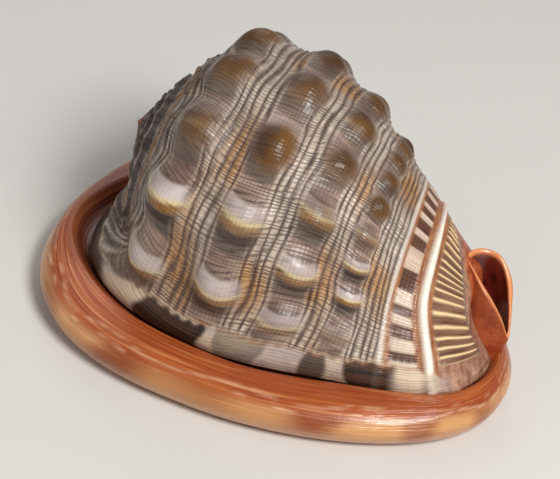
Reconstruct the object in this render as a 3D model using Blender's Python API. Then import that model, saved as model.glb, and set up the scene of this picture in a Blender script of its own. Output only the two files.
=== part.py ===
"""Helmet sea shell, grown as one piece, lying on its aperture.

The shell's own axis runs from the apex at -X to the siphonal canal at +X. The outer lip is on the
-Y side and the parietal shield on the +Y side, so the shell is dextral. The base is at z = 0.
"""

import bpy
import bmesh
import numpy as np

MM = 0.001
MERGE = 0.02 * MM

# Driving dimensions, in millimetres and degrees
BASE_LENGTH = 150.0
BASE_WIDTH = 119.0
BASE_EGG = 0.265         # how much wider the base is behind its middle than before it
BASE_SQUARE = 2.2        # superellipse power of the base outline
BASE_SKEW = -0.05        # the shield side leans back

APEX = np.array([-58.0, 0.5, 43.2])
AXIS_DROP = 9.5          # the axis falls this much towards the canal
AXIS_TURN = 7.8          # and turns this much away from the lip
GROWTH_PER_RADIAN = 0.055
GROWTH_STOPS = 125.0     # the hidden underside blends back from this angle
GROWTH_FADES = (97.0, 119.5)

BODY_FOOT = 11.5         # height at which the body's wall enters the lip and the shield
CHAMBER_FLOOR = 8.0
WALL = 5.0
TIP_TRIM = 0.6           # an inner section is cut off where it is this share of the wall from the axis
CHAMBER_SHARE = 0.86     # the chamber ends this far along the section
KNOB_ROUND = 2.4

SUTURE_RADIUS = 31.0     # radius at which the last suture starts
WHORL_RATIO = 1.5
LEDGE_HEIGHT = 1.3

RIDGE_AT = 96.8          # the smooth ridge before the fasciole
RIDGE_HEIGHT = 1.3
RIDGE_WIDTH = 2.2
RELIEF_FADES = 0.45      # share of the flare at which the relief has gone
LEDGE_FULL_FROM = 12.0   # radius from which the ledges have their full height
LEDGE_FADE = 4.0

LIP_HEIGHT = 12.0
LIP_EDGE_HEIGHT = 13.0
RIM_HEIGHT = 7.0         # where the lip reaches its full width
CREST_FROM_RIM = 4.6
TOOTH_DEPTH = 1.5
TOOTH_GAP = -0.3         # how far a gap between teeth is cut back
TOOTH_PAIRS = 46
SLOT_OVERSHOOT = 2.5     # the slot is cut this far past the base and past the chamber's floor
CANAL_WALL = 1.8
CANAL_BEND = np.array([0.0, 2.5, 0.0])
CANAL_STARTS = 0.12      # the canal's wall starts this far up from its foot
BORE_OVERSHOOT = (-0.06, 1.08)

FINE = 3601              # points on a curve when its length is measured
BODY_COLUMNS, BODY_ROWS = 66, 44
CHAMBER_COLUMNS, CHAMBER_ROWS = 22, 20
LIP_COLUMNS = 76
CANAL_COLUMNS, CANAL_ROWS = 20, 6

# Section of the body above the axis, as (distance from the apex, radius)
SECTION = [
    (0, 0), (1.5, 2.2), (3.8, 6.5), (7.2, 13.5), (11.2, 21.5), (16.0, 29.8), (20.6, 36.2),
    (26.5, 40.2), (36, 43), (48, 43.2), (57, 41.4), (65.5, 38), (78, 31.3), (86, 27),
    (96.8, 21.0), (104, 15.8), (110, 11.8), (115, 8.4), (118.5, 4.4), (119.5, 0),
]

# Rows of knobs: (distance from the apex, first angle, angle between, height,
# half length along the axis, half width in degrees, how many)
KNOB_ROWS = [
    (26.5, -103.0, 29.0, 5.0, 6.2, 9.5, 8),
    (47.5, -103.5, 28.0, 4.5, 6.0, 9.0, 8),
    (65.0, -113.0, 23.5, 3.4, 5.0, 7.5, 10),
    (78.5, -109.2, 15.8, 2.3, 3.4, 6.0, 14),
]

# The lip's and shield's inner edge on the body, every 30 degrees from the canal, and its centre
INNER_EDGE = [
    (68, 2), (60, 19), (36, 36), (3, 46), (-30, 43), (-52.5, 27), (-63, 0.5),
    (-54.5, -26), (-32, -41), (2, -42.5), (35, -29.8), (59.5, -17),
]
EDGE_CENTRE = np.array([0.0, -4.0])
BODY_INSET = 1.0         # the body's foot stands this far inside that edge

# Where each ring of the body meets that edge: (distance from the apex, degrees)
NEAR_FOOT = [
    (16, 180), (21, 198), (24, 218), (27.5, 238), (37, 254), (48.4, 266), (65.5, 281),
    (78, 293), (90, 310), (97, 328), (105, 342), (112, 352), (117, 366), (119.5, 374),
]
FAR_FOOT = [
    (16, 180), (21, 166), (24, 148), (27.5, 130), (37, 113), (48.4, 99), (65.5, 83),
    (78, 70), (90, 54), (97, 44), (105, 34), (112, 26), (117, 18), (119.5, 14),
]
# Angle at which a ring starts to flare towards its foot: (distance from the apex, degrees)
FLARE_START = [(16, 108), (30, 98), (70, 85), (97, 55), (117, 45)]
FIRST_FLARED = 7.0       # rings nearer the apex than this one don't flare
LAST_CLOSED = 16.0       # rings nearer the apex than this one are whole
FOOT_AFTER = 80.0        # no ring reaches its foot before this angle
FRONT_RINGS = 60.0       # the narrow rings from here on have theirs before the next angle
FRONT_FOOT_BEFORE = 140.0
HALVINGS = 40

# The aperture's slot, every 30 degrees from the canal
SLOT = [
    (61.7, 7), (58, 14.5), (36, 3.5), (12, -7.5), (-12, -14.2), (-34, -18.5), (-45, -24.5),
    (-36, -27.5), (-14, -23.7), (11, -16.7), (37, -6), (52.5, 1.5),
]

# The siphonal canal's mouth and its foot in the slot, both from the front edge round the far side
CANAL_MOUTH = [
    (66.2, 11.0, 15.5), (65.2, 14.0, 21.5), (62.8, 17.5, 28.5), (60.0, 20.2, 33.6),
    (56.8, 21.2, 36.4), (53.6, 20.8, 37.0), (51.6, 18.5, 35.6), (51.6, 15.8, 32.6),
    (53.6, 13.5, 29.0), (57.0, 12.0, 25.4), (60.6, 10.6, 21.4), (64.2, 10.0, 17.4),
]
CANAL_FOOT = [
    (63.1, 9.0, 0), (62.6, 11.5, 0), (61.6, 13.5, 0), (59.6, 14.5, 0), (57.1, 14.0, 0),
    (54.6, 12.5, 0), (52.6, 10.5, 0), (52.1, 8.5, 0), (53.1, 6.5, 0), (55.6, 5.5, 0),
    (58.6, 5.5, 0), (61.6, 6.5, 0),
]


def clear_scene():
    for obj in list(bpy.data.objects):
        bpy.data.objects.remove(obj, do_unlink=True)


def ease(t):
    """0 to 1 with a level start and end."""
    t = np.clip(t, 0.0, 1.0)
    return t * t * (3.0 - 2.0 * t)


def spline(points, t, closed):
    """A Catmull-Rom curve through the points, t running from 0 to 1."""
    points = np.asarray(points, float)
    if closed:
        ring = np.vstack([points[-1], points, points[0], points[1]])
        position = np.mod(t, 1.0) * len(points)
        last = len(points) - 1
    else:
        ring = np.vstack([2 * points[0] - points[1], points, 2 * points[-1] - points[-2]])
        position = np.clip(t, 0.0, 1.0) * (len(points) - 1)
        last = len(points) - 2
    i = np.minimum(np.floor(position).astype(int), last)
    u = (position - i)[..., None]
    a, b, c, d = ring[i], ring[i + 1], ring[i + 2], ring[i + 3]
    return 0.5 * (2 * b + (c - a) * u + (2 * a - 5 * b + 4 * c - d) * u**2 + (3 * b - a - 3 * c + d) * u**3)


def look_up(table, x):
    places, values = np.array(table, float).T
    return np.interp(x, places, values)


def axis_frame():
    """The shell axis, the upward direction across it, and the direction towards the lip."""
    drop, turn = np.radians([AXIS_DROP, AXIS_TURN])
    along = np.array([np.cos(drop) * np.cos(turn), np.cos(drop) * np.sin(turn), -np.sin(drop)])
    lipward = np.cross(along, [0.0, 0.0, 1.0])
    lipward /= np.linalg.norm(lipward)
    return along, np.cross(lipward, along), lipward


def section(q, inward=0.0):
    """Distance from the apex and radius at the share q of the section's length, moved inward."""
    fine = spline(SECTION, np.linspace(0.0, 1.0, FINE), closed=False)
    step = np.gradient(fine, axis=0)
    step /= np.linalg.norm(step, axis=1, keepdims=True)
    length = np.concatenate([[0.0], np.cumsum(np.hypot(*np.diff(fine, axis=0).T))])
    fine = fine + inward * np.stack([step[:, 1], -step[:, 0]], axis=1)
    inside = np.flatnonzero(fine[:, 1] > TIP_TRIM * inward)
    first, last = inside[0] - (inside[0] > 0), inside[-1] + 1
    fine, length = fine[first:last + 1], length[first:last + 1]
    fine[[0, -1], 1] = 0.0
    share = (length - length[0]) / (length[-1] - length[0])
    return np.interp(q, share, fine[:, 0]), np.interp(q, share, fine[:, 1])


def growth(angle, along):
    """The spiral's widening with the turn, blended back underneath and faded to none at the canal."""
    turn, limit = np.abs(angle), np.radians(GROWTH_STOPS)
    back = limit * (1.0 - ease((turn - limit) / (np.pi - limit)))
    turn = np.where(turn < limit, turn, back)
    start, end = GROWTH_FADES
    rate = GROWTH_PER_RADIAN * (1.0 - ease((along - start) / (end - start)))
    return np.exp(rate * np.sign(angle) * turn)


def ring_point(angle, along, radius):
    axis, up, lipward = axis_frame()
    g = growth(angle, along)
    return (
        APEX
        + (g * along)[..., None] * axis
        + (g * radius * np.cos(angle))[..., None] * up
        + (g * radius * np.sin(angle))[..., None] * lipward
    )


def foot_angle(side, along, radius, foot):
    """The angle at which a ring comes down to its foot's height, found by halving."""
    low = np.full_like(along, np.radians(FOOT_AFTER))
    high = np.where(along > FRONT_RINGS, np.radians(FRONT_FOOT_BEFORE), np.pi)
    for _ in range(HALVINGS):
        middle = (low + high) / 2.0
        above = ring_point(side * middle, along, radius)[..., 2] > foot
        low = np.where(above, middle, low)
        high = np.where(above, high, middle)
    return (low + high) / 2.0


def inner_edge(degrees, inset):
    edge = spline(INNER_EDGE, degrees / 360.0, closed=True)
    out = edge - EDGE_CENTRE
    return edge - out / np.linalg.norm(out, axis=-1, keepdims=True) * inset


def body_sheet(columns, rows, foot=BODY_FOOT, inward=0.0, share=1.0):
    """Grid of points over the body from the apex to the canal: each ring follows the spiral above
    and flares out to the inner edge of the lip on one side and of the shield on the other."""
    along, radius = section(np.linspace(0.0, share, rows), inward)
    across = np.linspace(-1.0, 1.0, columns)
    along, across = np.meshgrid(along, across, indexing="ij")
    radius = np.repeat(radius[:, None], columns, axis=1)
    closed = along <= LAST_CLOSED
    last_radius = np.interp(LAST_CLOSED, along[:rows // 2, 0], radius[:rows // 2, 0])
    last_ring = ring_point(np.array(np.pi), np.array(LAST_CLOSED), last_radius)
    points, angles, flares = [], [], []
    for side, feet in ((1.0, NEAR_FOOT), (-1.0, FAR_FOOT)):
        limit = np.where(closed, np.pi, foot_angle(side, along, radius, foot))
        angle = across * limit
        ring = ring_point(angle, along, radius)
        edge = inner_edge(look_up(feet, along), BODY_INSET + inward)
        target = np.concatenate([edge, np.full(edge.shape[:-1] + (1,), foot)], axis=-1)
        pull = np.where(closed[..., None], target - last_ring, target - ring_point(side * limit, along, radius))
        start = np.radians(look_up(FLARE_START, along))
        flare = ease((np.abs(angle) - start) / (limit - start))
        flare = flare * np.where(closed, ease((along - FIRST_FLARED) / (LAST_CLOSED - FIRST_FLARED)), 1.0)
        points.append(ring + flare[..., None] * pull)
        angles.append(angle)
        flares.append(flare)
    near = across >= 0.0
    return (
        np.where(near[..., None], *points), np.where(near, *angles), np.where(near, *flares), along, radius
    )


def sheet_normals(points):
    across = np.gradient(points, axis=1)
    down = np.gradient(points, axis=0)
    normal = np.cross(across, down)
    length = np.linalg.norm(normal, axis=-1, keepdims=True)
    return normal / np.maximum(length, 1e-9)


def relief(angles, flares, along, radius):
    """Height of the knobs, of the ledges between the spire's whorls and of the ridge at the canal,
    all fading where the rings flare."""
    degrees = np.degrees(angles)
    height = np.zeros_like(angles)
    for place, first, step, tall, long, wide, count in KNOB_ROWS:
        nearest = np.clip(np.round((degrees - first) / step), 0, count - 1)
        offset = np.abs((degrees - first - nearest * step) / wide)
        height += tall * np.exp(-(offset**KNOB_ROUND + np.abs((along - place) / long) ** KNOB_ROUND))
    whorl = np.log(np.maximum(radius, 0.5) / SUTURE_RADIUS) / np.log(WHORL_RATIO) - angles / (2 * np.pi)
    ledge = LEDGE_HEIGHT * (np.mod(whorl, 1.0) ** 2) * np.clip(radius / LEDGE_FULL_FROM, 0.0, 1.0)
    height += ledge * (1.0 - ease((along - LAST_CLOSED) / LEDGE_FADE))
    height += RIDGE_HEIGHT * np.exp(-(((along - RIDGE_AT) / RIDGE_WIDTH) ** 2))
    return height * (1.0 - ease(flares / RELIEF_FADES))


def base_outline(degrees):
    """Superellipse, wider behind its middle, the shield's side leaning back."""
    def outline(angle):
        c, s = np.cos(angle), np.sin(angle)
        x = np.sign(c) * np.abs(c) ** (2.0 / BASE_SQUARE)
        y = np.sign(s) * np.abs(s) ** (2.0 / BASE_SQUARE) * (1.0 - BASE_EGG * c)
        return x + BASE_SKEW * y, y

    x_all, y_all = outline(np.linspace(0.0, 2.0 * np.pi, FINE))
    x, y = outline(np.radians(degrees))
    x = 2.0 * (x - x_all.min()) / (x_all.max() - x_all.min()) - 1.0
    y = 2.0 * (y - y_all.min()) / (y_all.max() - y_all.min()) - 1.0
    return np.stack([x * BASE_LENGTH / 2.0, y * BASE_WIDTH / 2.0], axis=-1)


def lip_rings(columns):
    """Rings of the lip and shield from the edge of the flat underside, round the rim, over the
    thick lip to its raised inner edge on the body, and down to the floor inside."""
    degrees = np.linspace(0.0, 360.0, columns, endpoint=False)
    slot = spline(SLOT, degrees / 360.0, closed=True)
    rim = base_outline(degrees)
    out = rim - slot
    reach = np.linalg.norm(out, axis=1)
    out /= reach[:, None]
    edge = np.sum((inner_edge(degrees, 0.0) - slot) * out, axis=1)
    band = reach - edge
    crest = reach - np.minimum(CREST_FROM_RIM, 0.4 * band)
    rings = [
        (reach - 7.0, 0.0), (reach - 3.6, 1.0), (reach - 1.2, 3.4), (reach, RIM_HEIGHT),
        (reach - np.minimum(1.6, 0.15 * band), 10.2), (crest, LIP_HEIGHT),
        ((crest + edge) / 2.0, LIP_EDGE_HEIGHT + 0.4), (edge + np.minimum(1.2, 0.12 * band), LIP_EDGE_HEIGHT + 0.5),
        (edge - 0.4, LIP_EDGE_HEIGHT), (edge - 4.0, BODY_FOOT + 0.8),
    ]
    return [
        np.concatenate([slot + out * place[:, None], np.full((columns, 1), height)], axis=1)
        for place, height in rings
    ]


def slot_rings():
    """The slot through the base, its two edges notched into teeth."""
    count = 2 * TOOTH_PAIRS
    fine = spline(SLOT, np.linspace(0.0, 1.0, FINE), closed=True)
    length = np.concatenate([[0.0], np.cumsum(np.hypot(*np.diff(fine, axis=0).T))])
    places = np.interp(np.linspace(0.0, length[-1], count, endpoint=False), length, np.linspace(0.0, 1.0, FINE))
    edge = spline(SLOT, places, closed=True)
    tangent = np.roll(edge, -1, axis=0) - np.roll(edge, 1, axis=0)
    tangent /= np.linalg.norm(tangent, axis=1, keepdims=True)
    inward = np.stack([-tangent[:, 1], tangent[:, 0]], axis=1)
    notch = np.where(np.arange(count) % 2 == 0, TOOTH_GAP, TOOTH_DEPTH)
    outline = edge + inward * notch[:, None]
    return [
        np.concatenate([outline, np.full((count, 1), height)], axis=1)
        for height in (-SLOT_OVERSHOOT, CHAMBER_FLOOR + SLOT_OVERSHOOT)
    ]


def canal_rings(columns, outward, first, last):
    """Rings of the canal, bent like a scoop from its foot in the slot up to its mouth."""
    t = np.linspace(0.0, 1.0, columns, endpoint=False)
    mouth, foot = spline(CANAL_MOUTH, t, closed=True), spline(CANAL_FOOT, t, closed=True)
    bend = (mouth + foot) / 2.0 + CANAL_BEND
    rings = []
    for share in np.linspace(first, last, CANAL_ROWS):
        ring = foot * (1 - share) ** 2 + 2 * bend * share * (1 - share) + mouth * share**2
        out = ring - ring.mean(axis=0)
        rings.append(ring + out / np.linalg.norm(out, axis=1, keepdims=True) * outward)
    return rings


def mesh_object(name, bm):
    bmesh.ops.remove_doubles(bm, verts=bm.verts, dist=MERGE)
    bmesh.ops.dissolve_degenerate(bm, edges=bm.edges, dist=MERGE)
    open_edges = [edge for edge in bm.edges if edge.is_boundary]
    if open_edges:
        bmesh.ops.holes_fill(bm, edges=open_edges, sides=0)
    bmesh.ops.triangulate(bm, faces=[face for face in bm.faces if len(face.verts) > 4])
    bmesh.ops.recalc_face_normals(bm, faces=bm.faces)
    mesh = bpy.data.meshes.new(name)
    bm.to_mesh(mesh)
    bm.free()
    obj = bpy.data.objects.new(name, mesh)
    bpy.context.collection.objects.link(obj)
    return obj


def grid_object(name, points, wraps=False):
    """A grid of points as a mesh, closed where its ends meet and capped where they don't."""
    rows, columns = points.shape[:2]
    bm = bmesh.new()
    grid = [[bm.verts.new(point * MM) for point in row] for row in points]
    for i in range(rows - 1):
        for j in range(columns if wraps else columns - 1):
            k = (j + 1) % columns
            bm.faces.new((grid[i][j], grid[i][k], grid[i + 1][k], grid[i + 1][j]))
    return mesh_object(name, bm)


def body_form():
    points, angles, flares, along, radius = body_sheet(BODY_COLUMNS, BODY_ROWS)
    points = points + sheet_normals(points) * relief(angles, flares, along, radius)[..., None]
    points[..., 2] = np.maximum(points[..., 2], BODY_FOOT)
    return grid_object("helmet_shell", points)


def chamber_form():
    """The hollow inside, closed at its front by a wall that slopes down to its floor."""
    points = body_sheet(CHAMBER_COLUMNS, CHAMBER_ROWS, CHAMBER_FLOOR, WALL, CHAMBER_SHARE)[0]
    front = np.repeat((points[-1:, :1] + points[-1:, -1:]) / 2.0, CHAMBER_COLUMNS, axis=1)
    return grid_object("chamber_cutter", np.concatenate([points, front]))


def cut_or_join(target, tool, operation):
    modifier = target.modifiers.new(tool.name, "BOOLEAN")
    modifier.operation = operation
    modifier.solver = "EXACT"
    modifier.object = tool
    tool.hide_render = True
    tool.display_type = "WIRE"


def shell_material():
    material = bpy.data.materials.new("glazed_shell")
    material.use_nodes = True
    shader = material.node_tree.nodes["Principled BSDF"]
    shader.inputs["Base Color"].default_value = (0.56, 0.36, 0.22, 1.0)
    shader.inputs["Roughness"].default_value = 0.32
    shader.inputs["Metallic"].default_value = 0.0
    return material


def main():
    clear_scene()
    shell = body_form()
    lip = grid_object("lip_and_shield", np.array(lip_rings(LIP_COLUMNS)), wraps=True)
    canal_wall = np.array(canal_rings(CANAL_COLUMNS, CANAL_WALL, CANAL_STARTS, 1.0))
    canal_hollow = np.array(canal_rings(CANAL_COLUMNS, 0.0, *BORE_OVERSHOOT))
    canal = grid_object("canal_wall", canal_wall, wraps=True)
    chamber = chamber_form()
    slot = grid_object("slot_cutter", np.array(slot_rings()), wraps=True)
    bore = grid_object("canal_cutter", canal_hollow, wraps=True)
    cut_or_join(shell, lip, "UNION")
    cut_or_join(shell, canal, "UNION")
    cut_or_join(shell, chamber, "DIFFERENCE")
    cut_or_join(shell, slot, "DIFFERENCE")
    cut_or_join(shell, bore, "DIFFERENCE")
    shell.data.materials.append(shell_material())
    shell.data.shade_smooth()


main()
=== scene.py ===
"""A helmet sea shell lying on its aperture: knobbed body with its spire, thick lip and shield, canal."""

import functools

import bpy
import numpy as np
from mathutils import Matrix, Vector


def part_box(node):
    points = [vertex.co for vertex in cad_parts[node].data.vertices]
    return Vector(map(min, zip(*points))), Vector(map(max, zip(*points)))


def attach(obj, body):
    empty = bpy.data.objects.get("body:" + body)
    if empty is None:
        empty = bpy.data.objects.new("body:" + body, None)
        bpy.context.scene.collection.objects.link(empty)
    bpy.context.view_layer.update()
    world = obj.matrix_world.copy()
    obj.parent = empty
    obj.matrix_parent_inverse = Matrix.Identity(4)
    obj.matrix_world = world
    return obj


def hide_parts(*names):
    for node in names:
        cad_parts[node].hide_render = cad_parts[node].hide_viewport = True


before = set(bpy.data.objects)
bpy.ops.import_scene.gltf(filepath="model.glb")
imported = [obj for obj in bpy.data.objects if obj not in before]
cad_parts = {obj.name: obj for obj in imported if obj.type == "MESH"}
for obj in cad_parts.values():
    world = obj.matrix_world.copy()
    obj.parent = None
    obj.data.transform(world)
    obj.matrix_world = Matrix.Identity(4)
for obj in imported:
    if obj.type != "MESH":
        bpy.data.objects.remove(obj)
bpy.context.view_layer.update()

bl_info = {
    "name": "Helmet shell",
    "version": (1, 0, 0),
    "blender": (4, 5, 0),
    "location": "3D View > Sidebar > Shell",
    "description": "Builds the finished surface of a helmet sea shell from its growth rules",
    "category": "Add Mesh",
}

# Sizes are in millimetres and angles in degrees round the shell's axis, 0 on top and growing towards
# the lip. "Along" is the distance from the apex along that axis.
MM = 0.001
NODE = "helmet_shell"

# Placement and growth of the shell's own axis (the growth rate is for each radian)
APEX = np.array([-58.0, 0.5, 43.2])
AXIS_DROP, AXIS_TURN = 9.5, 7.8
GROWTH_PER_RADIAN, GROWTH_STOPS, GROWTH_FADES = 0.055, 125.0, (97.0, 119.5)
BODY_FOOT = 11.5              # height at which the body meets the lip and the shield
INNER_WALL = 5.0
INNER_COLUMNS = 34

# Base outline: taken from the frame's own box, so that the rim stays inside it
BASE_LOW, BASE_HIGH = (np.array(corner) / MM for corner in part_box(NODE))
BASE_EGG, BASE_SQUARE, BASE_SKEW = 0.265, 2.2, -0.05

# Section of the body above the axis, as (along, radius)
SECTION = [
    (0, 0), (1.5, 2.2), (3.8, 6.5), (7.2, 13.5), (11.2, 21.5), (16.0, 29.8), (20.6, 36.2),
    (26.5, 40.2), (36, 43), (48, 43.2), (57, 41.4), (65.5, 38), (78, 31.3), (86, 27),
    (96.8, 21.0), (104, 15.8), (110, 11.8), (115, 8.4), (118.5, 4.4), (119.5, 0),
]

# Inner edge of the lip and the shield on the body, every 30 degrees from the canal, and its centre
INNER_EDGE = [
    (68, 2), (60, 19), (36, 36), (3, 46), (-30, 43), (-52.5, 27), (-63, 0.5),
    (-54.5, -26), (-32, -41), (2, -42.5), (35, -29.8), (59.5, -17),
]
EDGE_CENTRE = np.array([0.0, -4.0])
# Where each ring's foot meets that edge: (along, degrees on the edge)
NEAR_FOOT = [
    (16, 180), (21, 198), (24, 218), (27.5, 238), (37, 254), (48.4, 266), (65.5, 281),
    (78, 293), (90, 310), (97, 328), (105, 342), (112, 352), (117, 366), (119.5, 374),
]
FAR_FOOT = [
    (16, 180), (21, 166), (24, 148), (27.5, 130), (37, 113), (48.4, 99), (65.5, 83),
    (78, 70), (90, 54), (97, 44), (105, 34), (112, 26), (117, 18), (119.5, 14),
]
# Where a ring starts to flare out to its foot: (along, degrees)
FLARE_START = [(16, 108), (30, 98), (70, 85), (97, 55), (117, 45)]
FIRST_FLARED, LAST_CLOSED = 7.0, 16.0
FOOT_FADE = 1.5               # the relief grows from nothing over this distance above the foot
KNOB_LEVEL = 60.0             # above this height the relief is eased to stay inside the frame's box
FRONT_FROM, FRONT_LENGTH = 112.0, 7.0
FRONT_TUCK = np.array([-3.0, 0.0, -3.5])   # the body's front end sinks behind the canal's wall

# Rows of knobs: (along, first angle, angle between, height, half length, half width in degrees, count)
KNOB_ROWS = [
    (26.5, -103.0, 29.0, 5.0, 6.2, 9.5, 8),
    (47.5, -103.5, 28.0, 4.5, 6.0, 9.0, 8),
    (65.0, -113.0, 23.5, 3.4, 5.0, 7.5, 10),
    (78.5, -109.2, 15.8, 2.3, 3.4, 6.0, 14),
]
KNOB_ROUND = 2.4              # power of the knob's bell, above 2 for a flatter top
LOW_KNOB, LOW_KNOB_SOFT = 34.0, 32.0       # knobs lower than this have the pale cycle of colours
# Colour cycle of a knob: (from, to, softness) as shares of the step to the next knob
# Light and shade are painted into this cycle: the pale upward slope is partly painted light, the cream line
# on the crest is a painted highlight, and the dark band on the downward slope is dark pigment with painted
# shade
PALE_AND_LIT_SPAN, UPPER_PALE_AND_LIT_SPAN, GOLD_SPAN = (-0.21, -0.02, 0.05), (-0.42, -0.22, 0.06), (0.06, 0.13, 0.05)
DARK_AND_SHADE_SPAN, GREY_SPAN, PLAIN_SPAN = (0.18, 0.27, 0.06), (0.3, 0.44, 0.08), (-0.22, 0.42, 0.06)
CREAM_HIGHLIGHT_LINE, CHECK_LINE = (0.01, 0.045), (-0.25, 0.028)     # (centre, half width)

# Spiral cords between the knob rows: (from, to, pitch, height, how far they wave), all along the axis
CORD_BANDS = [
    (14.0, 21.5, 1.9, 0.5, 0.75), (31.5, 42.0, 2.4, 0.5, 0.3), (52.5, 60.0, 2.2, 0.45, 0.3),
    (69.0, 75.0, 1.8, 0.35, 0.09), (81.5, 88.0, 1.5, 0.3, 0.09),
]
CORD_WAVE_STEP, CORD_WAVE_FROM, CORD_SOFT = 28.5, -103.0, 1.2

# Spire: its whorls wind outward by this ratio a turn, from this radius
SUTURE_RADIUS, WHORL_RATIO = 31.0, 1.5
LEDGE_HEIGHT, NODULE_HEIGHT, SPIRE_CORD_HEIGHT = 1.3, 0.8, 0.35
SPIRE_ENDS, SPIRE_SOFT, SPIRE_CORDS, NODULE_STEP = 13.5, 6.0, 7.0, 20.0
SPIRE_FULL_RADIUS = 14.0      # the spire's relief shrinks with the radius inside this one

# Bands near the canal, which sweep forward by SWEEP as they come down to the lip
SWEEP = 2.4
THIN_LINE_AT, THIN_LINE_WIDTH, THIN_LINE_HEIGHT = 88.6, 0.42, 0.45
RIDGE_AT, RIDGE_WIDTH, RIDGE_HEIGHT = 96.8, 1.05, 1.1
CHANNEL_FROM, CHANNEL_TO, CHANNEL_DEPTH = THIN_LINE_AT + 1.6, RIDGE_AT - 2.8, 0.4
EDGING_FROM, EDGING_TO = THIN_LINE_AT + 0.5, RIDGE_AT + 2.4
RIBLET_STEP, RIBLET_HEIGHT, RIBLETS_FROM, LAST_RIBLET = 6.6, 0.55, RIDGE_AT + 2.2, 104.0
FRONT_SOFT = 0.8
# Dark bars of the channel beside the ridge: (from, to), in degrees
CHANNEL_BARS = [
    (-30, -24), (-17, -11), (-4, 3), (8, 13), (19, 26),
    (32, 39), (54.5, 66), (75, 78), (84, 88.5), (96.5, 100),
]
# Where the riblets end and where the orange callus begins: (degrees, along)
RIBLETS_END = [
    (-30, 97), (-10, 101.5), (0, 103.5), (20, 106), (40, 109), (60, 111), (80, 112), (105, 113.5),
]
CALLUS_FROM = [
    (-90, 40), (-60, 75), (-30, 97.5), (0, 105), (20, 107), (40, 111), (60, 116), (80, 117.8), (100, 119),
]

# Smooth zone before the lip, and its dark blocks: (along, half length, how dark)
LIP_ZONE, LIP_ZONE_ENDS = 10.0, 100.0
LIP_BLOCKS = [(21.0, 3.4, 1.0), (39.5, 7.5, 1.0), (58.0, 6.0, 0.55), (78.0, 2.0, 0.9), (88.8, 3.4, 1.0)]

# Centre line of the slot, and the teeth on its two sides: (from, to, teeth in a full turn)
SLOT_EDGE = [
    (61.7, 7), (58, 14.5), (36, 3.5), (12, -7.5), (-12, -14.2), (-34, -18.5), (-45, -24.5),
    (-36, -27.5), (-14, -23.7), (11, -16.7), (37, -6), (52.5, 1.5),
]
LIP_TEETH, SHIELD_TEETH = (200.0, 340.0, 50.6), (25.0, 165.0, 69.0)
TOOTH_HEIGHT, TOOTH_SHARP, TEETH_SOFT = 1.3, 1.6, 8.0
# Places round the lip's section, as knot numbers of lip_profile, and its bands as (from, to, softness)
LIP_BANDS = {"under": (4.0, 7.5, 1.0), "lower": (7.6, 10.9, 0.9), "inside": (16.5, 20.5, 0.6)}
SLOT_KNOT, SLOT_WIDTH, GAP_BAND, PALE_EDGE_KNOT = 2.2, 1.9, (-1.0, 3.6, 0.6), 8.6
# The crest's pale line is a painted highlight laid on a slightly raised line
CREST_KNOT, SECOND_LINE_KNOT, CREST_HIGHLIGHT_WIDTH = 11.45, 12.1, 0.11

# Rim and root of the canal, round the same way
CANAL_MOUTH = [
    (67.3, 12.5, 20.2), (65.8, 15.3, 23.6), (63.5, 17.8, 28.0), (60.9, 19.9, 32.5),
    (57.3, 21.4, 36.1), (53.4, 20.9, 37.1), (50.8, 18.2, 37.3), (50.7, 14.9, 36.8),
    (53.8, 13.0, 35.5), (57.3, 12.0, 33.2), (60.7, 11.5, 30.5), (64.5, 11.8, 25.6),
]
CANAL_FOOT = [
    (63.1, 9.0, 0), (62.6, 11.5, 0), (61.6, 13.5, 0), (59.6, 14.5, 0), (57.1, 14.0, 0),
    (54.6, 12.5, 0), (52.6, 10.5, 0), (52.1, 8.5, 0), (53.1, 6.5, 0), (55.6, 5.5, 0),
    (58.6, 5.5, 0), (61.6, 6.5, 0),
]
CANAL_WALL, CANAL_RIM_LIFT, CANAL_FROM = 1.8, 0.7, 0.12
CANAL_BEND = np.array([0.0, 2.5, 0.0])
CANAL_ROWS, CANAL_RIM_ROWS = 40, 7

# True sizes of the UV maps: the radius, length and girth at which they are laid out
GIRTH_RADIUS = 43.0
PROFILE_LENGTH = 90.0
CANAL_GIRTH = 60.0

# Pitches of the finest sculpture, which the shader makes
GROWTH_LINE_STEP, SPIRAL_THREAD_STEP = 1.25, 1.05

# Optics that all parts of the shell share, by the names of the shader's sockets
SHELL_OPTICS = {
    "IOR": 1.53, "Coat Roughness": 0.22, "Subsurface Weight": 0.06, "Subsurface Radius": (1.0, 0.5, 0.3),
}

# Studio lights: name, place in metres, side in metres, watts
STUDIO_LIGHTS = (
    ("key", (0.62, -0.32, 0.8), 0.35, 10.5),
    ("fill", (-0.8, -0.5, 0.45), 0.9, 1.5),
    ("back", (-0.5, 0.75, 0.7), 0.7, 1.6),
)
LIGHTS_AIM = Vector((0.0, 0.0, 0.03))
STUDIO_AIR, STUDIO_AIR_STRENGTH = (1.0, 0.98, 0.96, 1.0), 0.25

# Viewpoint, from a camera fitted to the outline, knobs and lip in the photograph
AIM = Vector((2.56, -2.5, 35.5)) * MM
VIEW_AZIMUTH, VIEW_ELEVATION, VIEW_ROLL = 26.76, 36.59, 8.88
VIEW_DISTANCE, VIEW_LENS, VIEW_SENSOR = 620.0, 136.4, 36.0
VIEW_SHIFT = (-0.0323, -0.0239)


def ease(t):
    """0 to 1 with a level start and end: 3t squared less 2t cubed."""
    t = np.clip(t, 0.0, 1.0)
    return t * t * (3.0 - 2.0 * t)


def bump(x, centre, width):
    """A bell of height 1 at centre, falling to 1/e at width."""
    return np.exp(-(((x - centre) / width) ** 2))


def band(x, low, high, soft):
    """1 between low and high, easing to 0 over soft outside them."""
    return ease((x - low) / soft + 1.0) * ease((high - x) / soft + 1.0)


def waves(phase, sharp):
    """Round-topped ridges, one for each whole number of phase: half of 1 plus cosine, to a power."""
    return (0.5 + 0.5 * np.cos(2.0 * np.pi * phase)) ** sharp


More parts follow.
